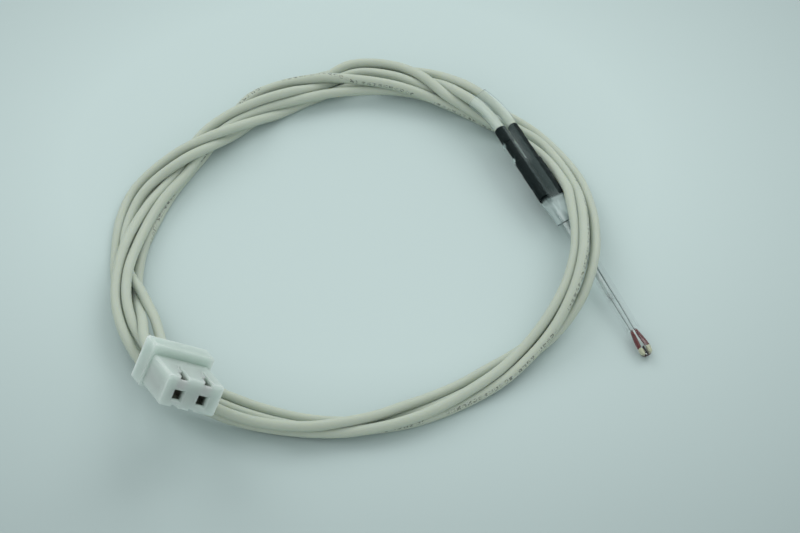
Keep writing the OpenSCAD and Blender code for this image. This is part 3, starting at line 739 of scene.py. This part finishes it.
def build_floor(sizes):
    """A flat square floor, whose colour dims with the distance from the middle of the loop: painted
    shade for the light falling off away from the middle and towards the corners.
    """
    half = 900.0
    corners = [[-half, -half, 0], [half, -half, 0], [half, half, 0], [-half, half, 0]]
    floor = make_piece("floor", corners, [(0, 1, 2, 3)], smooth=False)
    material, shader = new_material("floor_paper", roughness=0.75)
    tree = material.node_tree
    away = vector_math(tree, "SUBTRACT", object_place(tree), (-0.004, 0.014, 0.0))[0]
    squeezed = vector_math(tree, "MULTIPLY", away, (0.85, 1.0, 0.0))[0]
    # Painted shade: how far the floor has dimmed towards the falloff colour, by the distance from the
    # loop's middle.
    share = ramp(tree, vector_math(tree, "LENGTH", squeezed)["Value"], 0.025, 0.06)
    tree.links.new(mixed(tree, share, sizes.pale, sizes.falloff_shade), shader.inputs["Base Color"])
    floor.data.materials.append(material)


def build_lights(sizes):
    """Two soft lamps behind, the right one the stronger, and an even sky."""
    for name, place, size, power in (
        ("lamp_right", (0.34, 0.44, 0.54), 0.5, 1.4),
        ("lamp_left", (-0.34, 0.46, 0.50), 0.5, 1.05),
    ):
        lamp = bpy.data.lights.new(name, "AREA")
        lamp.shape = "DISK"
        lamp.size = size
        lamp.energy = power
        aim(new_object(name, lamp), place, -np.array(place))
    world = bpy.data.worlds.new("sky")
    world.use_nodes = True
    background = world.node_tree.nodes["Background"]
    background.inputs[0].default_value = (0.97, 0.99, 1.0, 1.0)
    background.inputs[1].default_value = sizes.sky
    bpy.context.scene.world = world


def aim(obj, place, direction):
    """Puts a lamp or a camera at a place, with its -Z along a direction and its +Y upwards."""
    x, y, z = direction / np.linalg.norm(direction)
    obj.location = place
    obj.rotation_euler = (np.arccos(-z), 0.0, np.arctan2(-x, y))


def build_camera(sizes):
    """Camera on a line that rises from the loop's front by the elevation, with no tilt."""
    target = (LOOP_MIDDLE + [4.5, -2.0, 0.0]) * MM
    back = np.array([0, -np.cos(sizes.elevation), np.sin(sizes.elevation)])
    camera = bpy.data.cameras.new("camera")
    camera.lens = sizes.lens
    camera.sensor_width = 36.0
    camera.clip_start = 0.01
    bpy.context.scene.camera = new_object("camera", camera)
    aim(bpy.context.scene.camera, target + sizes.distance * back, -back)


class THERM_OT_wires(Operator):
    bl_idname = "therm.wires"
    bl_label = "Lead wires"

    def execute(self, context):
        sizes = context.scene.therm_wires
        d = sizes.diameter / MM
        spacing = sizes.spacing / MM
        laid = (laid_wire(PLAIN_LAY, HALF_PITCH, 1), laid_wire(MARKED_LAY, -HALF_PITCH, -1))
        plain, marked = settle([evenly(evenly(w, spacing), spacing) for w in laid], d)
        for kind, side, path, roll, ink in (("plain", "a", plain, 0.0, None),
                                            ("marked", "b", marked, print_roll(marked), sizes.ink)):
            ends = ("in_plug", "plug_end", "probe_end", "in_sleeve")
            nodes = ("wire_coil", *(f"wire_{side}_{end}" for end in ends))
            verts, faces, uv = swept(path, d / 2, sizes.sides, roll)
            wire = make_piece("lead_wire_" + kind, verts, faces, uv)
            finish_piece(wire, insulation("ivory_" + kind, sizes.ivory, ink), nodes)
        return {"FINISHED"}


def print_roll(path):
    """PRINT_ROLL at each point of the marked wire, by the point's angle on through the turns."""
    around = np.degrees(np.unwrap(np.arctan2(*(path - LOOP_MIDDLE)[:, 1::-1].T)))
    start_point, start_angle = 12, 215.0
    around += 360.0 * round((start_angle - around[start_point]) / 360.0)
    keys = np.array(PRINT_ROLL, float)[::-1]
    return np.interp(around, keys[:, 0], keys[:, 1])


class THERM_OT_plug(Operator):
    """Round the edges of the moulded housing and dress its contacts"""

    bl_idname = "therm.plug"
    bl_label = "Connector"

    def execute(self, context):
        sizes = context.scene.therm_plug
        work = bmesh.new()
        work.from_mesh(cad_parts["connector_housing"].data)
        bmesh.ops.remove_doubles(work, verts=work.verts, dist=1e-6)
        bmesh.ops.dissolve_limit(work, angle_limit=np.radians(1.0), verts=work.verts, edges=work.edges)
        weigh_edges(work)
        mesh = bpy.data.meshes.new("housing_moulded")
        work.to_mesh(mesh)
        work.free()
        housing = new_object("housing_moulded", mesh)
        bevel = housing.modifiers.new("rounded_edges", "BEVEL")
        bevel.width = sizes.edge
        bevel.segments = 3
        bevel.limit_method = "WEIGHT"
        bevel.use_clamp_overlap = False
        bevel.harden_normals = True
        mesh.polygons.foreach_set("use_smooth", np.full(len(mesh.polygons), True))
        finish_piece(housing, nylon(sizes), ("connector_housing",))
        dress("crimp_contact", stamped_metal("tinned_sheet", (0.62, 0.61, 0.58), 0.32))
        dress("plug_core", stamped_metal("bare_strands", (0.75, 0.42, 0.28), 0.4))
        return {"FINISHED"}


def weigh_edges(work):
    """Sets how far each sharp edge of the housing is rounded, as a share of the edge radius.

    Long edges across the front are rounded fully, short and upright ones less, and those that run
    back beside the solid's own chamfers, or lie in an inner corner, least."""
    sharp, least, part, full = np.radians(28), 0.2, 0.45, 1.0
    weight = work.edges.layers.float.new("bevel_weight_edge")
    for edge in work.edges:
        if edge.calc_face_angle(0.0) > sharp:
            across, back, _ = np.abs(np.array(edge.verts[1].co - edge.verts[0].co) @ PLUG_AXES)
            if back > 0.7 * edge.calc_length() or not edge.is_convex:
                edge[weight] = least
            else:
                edge[weight] = full if across > 1.5 * MM else part


def dress(node, material):
    """Puts a material on a pair of CAD nodes, a and b, that stay in view."""
    for side in "ab":
        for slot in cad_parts[f"{node}_{side}"].material_slots:
            slot.material = material


def nylon(sizes):
    """Natural nylon: milky, with a satin skin and faint cloudiness, and painted shade inside its
    openings.

    The places are taken in the connector's frame. The painted shade mask, which darkens the colour
    where light hardly reaches, is the product of four ramps: close to a cavity's middle plane,
    behind the mating face, below the roof, above the floor."""
    material, shader = new_material("natural_nylon", roughness=0.4, ior=1.5, subsurface_weight=1.0,
                                    subsurface_scale=0.004, subsurface_radius=[1.0, 1.05, 1.0])
    tree = material.node_tree
    x, y, z = (measured(tree, PLUG_AT, axis) for axis in PLUG_AXES.T)
    beside = math(tree, "ABSOLUTE", math(tree, "SUBTRACT", math(tree, "ABSOLUTE", x), HALF_PITCH))
    # Painted shade: darkens the nylon deep in the pin holes and latch windows, where light hardly
    # reaches.
    painted_shade = ramp(tree, beside, 0.5, 0.38)
    for value, none, full in ((y, 0.26, 0.5), (z, 3.0, 2.5), (z, 0.05, 0.3)):
        painted_shade = product(tree, painted_shade, ramp(tree, value, none, full))
    mottle(material, shader, mixed(tree, painted_shade, sizes.nylon, sizes.inside), 500.0, 0.06, 0.1)
    return material


def stamped_metal(name, colour, roughness):
    """Drawn or stamped metal, with faint streaks in its roughness."""
    material, shader = new_material(name, metallic=1.0, roughness=roughness)
    node = mottle(material, shader, colour, 1500.0, 0.3, 0.2)
    tree = material.node_tree
    rough = ramp(tree, node.outputs["Height"], 0.0, 1.0, roughness - 0.08, roughness + 0.12)
    tree.links.new(rough, shader.inputs["Roughness"])
    return material


class THERM_OT_sleeve(Operator):
    """Shrink the black sleeves over the splices and the clear sleeve over both"""

    bl_idname = "therm.sleeve"
    bl_label = "Splice sleeve"

    def execute(self, context):
        sizes = context.scene.therm_sleeve
        black = black_sleeving(sizes)
        long_r, short_r, cuff_r, bore = 0.55, 0.68, 0.63, 0.5
        for name, node, side, x0, x1, radius, inner in (
            ("sleeve_long_a", "shrink_long_a", 1, 0.0, 10.2, long_r, bore),
            ("sleeve_long_b", "shrink_long_b", -1, 0.0, 10.2, long_r, bore),
            ("sleeve_short_a", "shrink_short_a", 1, 0.4, 5.7, short_r, long_r),
            ("sleeve_short_b", "shrink_short_b", -1, 0.0, 5.3, short_r, long_r),
            ("sleeve_cuff_a", "shrink_collar_a", 1, 8.3, 10.3, cuff_r, long_r),
        ):
            tube = shrunk_tube(name, x0, x1, radius, inner, side)
            finish_piece(tube, black, (node,))
        finish_piece(build_film(), film_plastic(sizes), ("clear_sleeve",))
        dress("splice_barrel", stamped_metal("tinned_barrel", (0.66, 0.65, 0.62), 0.3))
        dress("splice_core", stamped_metal("stripped_strands", (0.75, 0.42, 0.28), 0.4))
        return {"FINISHED"}


def black_sleeving(sizes):
    """Black shrunk sleeving: satin, with a fine unevenness."""
    material, shader = new_material("black_sleeving", roughness=0.54, specular_ior_level=0.14,
                                    specular_tint=(0.75, 1.0, 0.97))
    mottle(material, shader, tuple(sizes.black), 1300.0, 0.3, 0.25)
    return material


def shrunk_tube(name, x0, x1, radius, inner, side):
    """One sleeve round a lobe: its radius swells and narrows a little along its length.

    Radius = radius + 0.012 sin(2.3 x) + 0.008 sin(5.1 x + side), with its two rims rounded over
    0.1 mm by a quarter circle, and the bore the other way."""
    t = np.linspace(0, 1, 60)
    x = x0 + (x1 - x0) * t
    rim = np.minimum(x - x0, x1 - x)
    ease = np.sqrt(np.clip(1 - (1 - np.clip(rim / 0.1, 0, 1)) ** 2, 0, 1))
    wall = radius - inner
    r = inner + wall * (0.35 + 0.65 * ease) + 0.012 * np.sin(2.3 * x) + 0.008 * np.sin(5.1 * x + side)
    back = np.column_stack([x[::-6], np.full(10, inner)])
    profile = np.vstack([np.column_stack([x, r]), back])
    return turned_ring(name, profile, lambda p: on_sleeve(p + [0, side * LOBE, 0]))


def film_section(half_w, r, sag):
    """A ring of 64 points: two half circles of radius r, half_w either side, with sagging flats."""
    a = np.linspace(0, 2 * np.pi, 64, endpoint=False)
    y = r * np.cos(a) + half_w * np.tanh(3.0 * np.cos(a))
    z = r * np.sin(a)
    z = z * (1 - sag * np.exp(-((y / max(half_w, 0.05)) ** 2) * 1.5))
    return y, z


def build_film():
    """The clear sleeve: a section of two lobes carried up from the probe tube over the splices.

    Its half width, its radius and the sag of its flats run evenly from key to key along it, and
    its skin comes back down the inside a wall's thickness in. Its lower end is cut askew: a place
    moves down the sleeve by 0.56 z + 0.19 y there, and by less the further up it is."""
    wall = 0.07
    x = np.concatenate([np.linspace(FILM_FROM, 0, 22), np.linspace(0.2, 10.2, 40),
                        np.linspace(10.5, FILM_TO, 26)])
    keys = [FILM_FROM, -1.4, -0.1, 0.3, 5.2, 6.2, 10.3, 10.9, FILM_TO]
    half = np.interp(x, keys, [0.24, 0.32, 0.6, 0.67, 0.67, 0.66, 0.66, 0.67, 0.7])
    radius = np.interp(x, keys, [0.75, 0.74, 0.71, 0.71, 0.71, 0.70, 0.68, 0.54, 0.56])
    sag = np.interp(x, keys, [0.0, 0.02, 0.06, 0.08, 0.08, 0.08, 0.08, 0.12, 0.06])
    rings, places = [], []
    for grow, order, skin in ((wall, 1, 0.0), (0.0, -1, INNER_SKIN)):
        for k in range(len(x))[::order]:
            y, z = film_section(half[k], radius[k] + grow, sag[k])
            lean = np.clip(1 - (x[k] - FILM_FROM) / 1.6, 0, 1)
            rings.append(place_film(x[k] - lean * (0.56 * z + 0.19 * y), y, z))
            places.append(x[k] + skin)
    rings = np.array(rings)
    rows, points = rings.shape[:2]
    faces = grid_faces(rows, points, wrap_rows=True)[:, ::-1]
    uv = grid_uv(faces, points, np.array(places))
    return make_piece("film_clear", rings.reshape(-1, 3), faces, uv)


def place_film(x, y, z):
    """Places of one ring of the film: in the probe's frame below the splice, else the sleeve's."""
    if x.mean() < 0:
        return on_probe(np.column_stack([PROBE_LENGTH + x, y, z]))
    return on_sleeve(np.column_stack([x, y, z]))


class THERM_OT_probe(Operator):
    """Make the clear probe tube, its two leads and the liner on one of them"""

    bl_idname = "therm.probe"
    bl_label = "Probe"

    def execute(self, context):
        sizes = context.scene.therm_probe
        build_tube(sizes)
        build_leads(sizes)
        return {"FINISHED"}


def build_pipe(name, x0, x1, outer, inner, shift):
    """A pipe along the probe with rims rounded over 0.05 mm, moved sideways by shift."""
    rim = 0.05
    turn = np.radians(np.linspace(0, 90, 5))
    back, drop = rim * (1 - np.cos(turn)), rim * (1 - np.sin(turn))
    wall, inside = np.linspace(x0 + rim, x1 - rim, 20)[1:-1], np.linspace(x1, x0, 12)
    x = [x0 + back, wall, (x1 - back)[::-1], inside]
    r = [outer - drop, np.full(18, outer), (outer - drop)[::-1], np.full(12, inner)]
    profile = np.column_stack([np.concatenate(x), np.concatenate(r)])
    return turned_ring(name, profile, lambda p: on_probe(p + [0, shift, 0]))


def build_tube(sizes):
    """The clear probe tube and the fine milky liner on one lead, which fades out at its end."""
    radius, bore = sizes.tube_diameter / MM / 2, sizes.tube_bore / MM / 2
    tube = build_pipe("tube_clear", *TUBE_ENDS, radius, bore, 0)
    clear = clear_plastic("clear_tube", (176, 190, 190), 0.012, 0.28, 5.0, 0.05)
    finish_piece(tube, clear, ("probe_tube",))
    liner = build_pipe("liner_fine", *LINER_ENDS, LINER_RADIUS, LINER_BORE, sizes.lead_gap / MM / 2)
    milky = clear_plastic("milky_liner", (214, 238, 232), 0.7, 0.0, 2.0, 0.6, (LINER_ENDS[0], 2.4),
                          subsurface_weight=1.0, subsurface_scale=0.0006,
                          subsurface_radius=[1.0, 1.0, 1.0])
    finish_piece(liner, milky, ("lead_liner",))


def lead_path(side, gap):
    """Middle line of one lead: down the sleeve's lobe, through the tube, and spread in the glass."""
    sleeve_part = on_sleeve([[4.8, side * LOBE, 0], [3.4, side * LOBE, 0], [2.0, side * LOBE, 0]])
    probe_part = on_probe([
        [17.2, side * gap / 2, 0], [16.0, side * gap / 2, 0], [12.0, side * gap / 2, 0.03],
        [8.0, side * (gap / 2 - 0.02), 0], [4.0, side * gap / 2, 0.02], [2.0, side * 0.2, 0],
        [1.3, side * 0.21, 0], [0.5, side * 0.27, 0], [-0.66, side * STUD_SPREAD, 0],
    ])
    return evenly(np.vstack([sleeve_part, probe_part]), 0.12)


def build_leads(sizes):
    """Two leads, thin and grey in the tube and thicker and red where the glass wets them.

    They swell by the smooth step 3 t^2 - 2 t^3 from 1.7 to 0.6 mm up the probe, and their tips,
    at -0.66 mm, are drawn in by a square root over the last 0.1 mm."""
    gap = sizes.lead_gap / MM
    thin = sizes.lead_diameter / MM / 2
    metal = bead_lead(sizes)
    for side, name in ((1, "a"), (-1, "b")):
        path = lead_path(side, gap)
        x = (path - BEAD_AT) @ PROBE_AXES[:, 0]
        swell = np.clip((1.7 - x) / 1.1, 0, 1)
        radii = thin + (STUD_RADIUS - thin) * swell * swell * (3 - 2 * swell)
        radii *= np.sqrt(np.clip((x + 0.67) / 0.1, 0.1, 1))
        verts, faces, uv = swept(path, radii, 16)
        lead = make_piece("lead_wire_" + name, verts, faces, uv)
        finish_piece(lead, metal, ("lead_" + name,))


def bead_lead(sizes):
    """Lead metal: grey, and red from the glass's neck on, by the place along the probe."""
    material, shader = new_material("bead_lead", roughness=0.5)
    tree = material.node_tree
    neck = 1.45
    red = ramp(tree, up_the_probe(tree, neck), 0.2, -0.2)
    tree.links.new(math(tree, "SUBTRACT", 1.0, red), shader.inputs["Metallic"])
    mottle(material, shader, mixed(tree, red, sizes.lead_grey, sizes.lead_red), 2500.0, 0.35)
    return material


class THERM_OT_bead(Operator):
    """Drop the glass bead round the ends of the leads, with the bonds and the chip in it"""

    bl_idname = "therm.bead"
    bl_label = "Glass bead"

    def execute(self, context):
        build_bead(context.scene.therm_probe)
        build_chip()
        return {"FINISHED"}


def build_bead(sizes):
    """The drop of clear glass, and in it the two bonds of fired paste."""
    half = sizes.bead_length / MM / 2
    r = sizes.bead_diameter / MM / 2
    keys = np.array([
        (-1.0, 0.0), (-1.0, 0.3), (-0.985, 0.5), (-0.94, 0.7), (-0.86, 0.86), (-0.72, 0.97),
        (-0.5, 1.0), (-0.2, 0.97), (0.2, 0.87), (0.55, 0.74), (0.85, 0.63), (0.97, 0.56),
        (1.0, 0.42), (1.0, 0.2), (1.0, 0.0),
    ]) * [half, r]
    drop = turned_drop("bead_glass", rounded_profile(keys, 0.06), on_probe, 56)
    glass, _ = new_material("polished_glass", base_color=(0.97, 1.0, 0.98), roughness=0.01,
                            transmission_weight=1.0, ior=1.5)
    finish_piece(drop, glass, ("glass_bead",))
    paste, shader = new_material("fired_paste", roughness=0.7)
    mottle(paste, shader, linear((228, 232, 200)), 3500.0, 0.25, 0.3)
    bond_half_length, bond_radius = 0.36, 0.245
    dab = np.array([(-1.0, 0.0), (-0.9, 0.45), (-0.6, 0.82), (-0.1, 1.0), (0.5, 0.96), (0.85, 0.75),
                    (1.0, 0.4), (1.0, 0.0)]) * [bond_half_length, bond_radius] + [BOND_MIDDLE, 0.0]
    for side, name in ((1, "a"), (-1, "b")):
        bond = turned_drop("bond_" + name, rounded_profile(dab, 0.04),
                           lambda p: on_probe(p + [0, side * STUD_SPREAD, 0]), 28)
        finish_piece(bond, paste, ("chip_bond_" + name,))


def rounded_profile(keys, spacing):
    """A smooth profile through keys of (x, radius), in even steps, that ends on the axis."""
    profile = evenly(np.column_stack([keys, np.zeros(len(keys))]), spacing)[:, :2]
    profile[[0, -1], 1] = 0.0
    return profile


def build_chip():
    """The chip between the bonds: a lathed round made a rounded square, and that made thin.

    A section's point (y, z) moves to (y, z) times its radius over (|y|^10 + |z|^10)^(1/10), y is
    scaled to the chip's thickness, and the whole is rolled a little about the probe."""
    half_l, half_w, half_t = 0.38, 0.275, 0.06
    profile = np.array([(-1.0, 0.0), (-1.0, 0.6), (-1.0, 0.88), (-0.97, 0.96), (-0.9, 1.0), (0.9, 1.0),
                        (0.97, 0.96), (1.0, 0.88), (1.0, 0.6), (1.0, 0.0)]) * [half_l, half_w]
    roll = turned("x", -17.0)

    def place(p):
        around = p[:, 1:]
        r = np.linalg.norm(around, axis=1)
        square = (np.abs(around) ** 10).sum(1) ** 0.1
        around = around * (r / np.maximum(square, 1e-9))[:, None] * [half_t / half_w, 1.0]
        return on_probe(np.column_stack([p[:, 0], around]) @ roll.T + [CHIP_MIDDLE, 0.0, 0.0])

    chip = turned_drop("chip_sintered", profile, place, 48)
    ceramic, shader = new_material("dark_ceramic", roughness=0.5, specular_ior_level=0.2)
    mottle(ceramic, shader, linear((7, 9, 9)), 5000.0, 0.4, 0.2)
    finish_piece(chip, ceramic, ("sensor_chip",))


class THERM_PT_panel(Panel):
    """Lists the steps and the sizes"""

    bl_idname = "THERM_PT_panel"
    bl_label = "Thermistor"
    bl_space_type = "VIEW_3D"
    bl_region_type = "UI"
    bl_category = "Thermistor"

    def draw(self, context):
        for step in STEPS:
            self.layout.operator(step.bl_idname)
        for name in SIZES:
            box = self.layout.box()
            group = getattr(context.scene, name)
            for key in group.__annotations__:
                box.prop(group, key)


STEPS = (THERM_OT_stage, THERM_OT_wires, THERM_OT_plug, THERM_OT_sleeve, THERM_OT_probe, THERM_OT_bead)
SIZES = {
    "therm_wires": WireSizes,
    "therm_plug": PlugSizes,
    "therm_sleeve": SleeveSizes,
    "therm_probe": ProbeSizes,
    "therm_stage": StageSizes,
}


def register():
    """Registers the size groups, the operators and the panel."""
    for name, group in SIZES.items():
        bpy.utils.register_class(group)
        setattr(bpy.types.Scene, name, PointerProperty(type=group))
    for step in (*STEPS, THERM_PT_panel):
        bpy.utils.register_class(step)


def unregister():
    """Takes back what register did, in the opposite order."""
    for step in reversed((*STEPS, THERM_PT_panel)):
        bpy.utils.unregister_class(step)
    for name, group in reversed(SIZES.items()):
        delattr(bpy.types.Scene, name)
        bpy.utils.unregister_class(group)


def main():
    register()
    bpy.ops.therm.stage()
    bpy.ops.therm.wires()
    bpy.ops.therm.plug()
    bpy.ops.therm.sleeve()
    bpy.ops.therm.probe()
    bpy.ops.therm.bead()


if __name__ == "__main__":
    main()
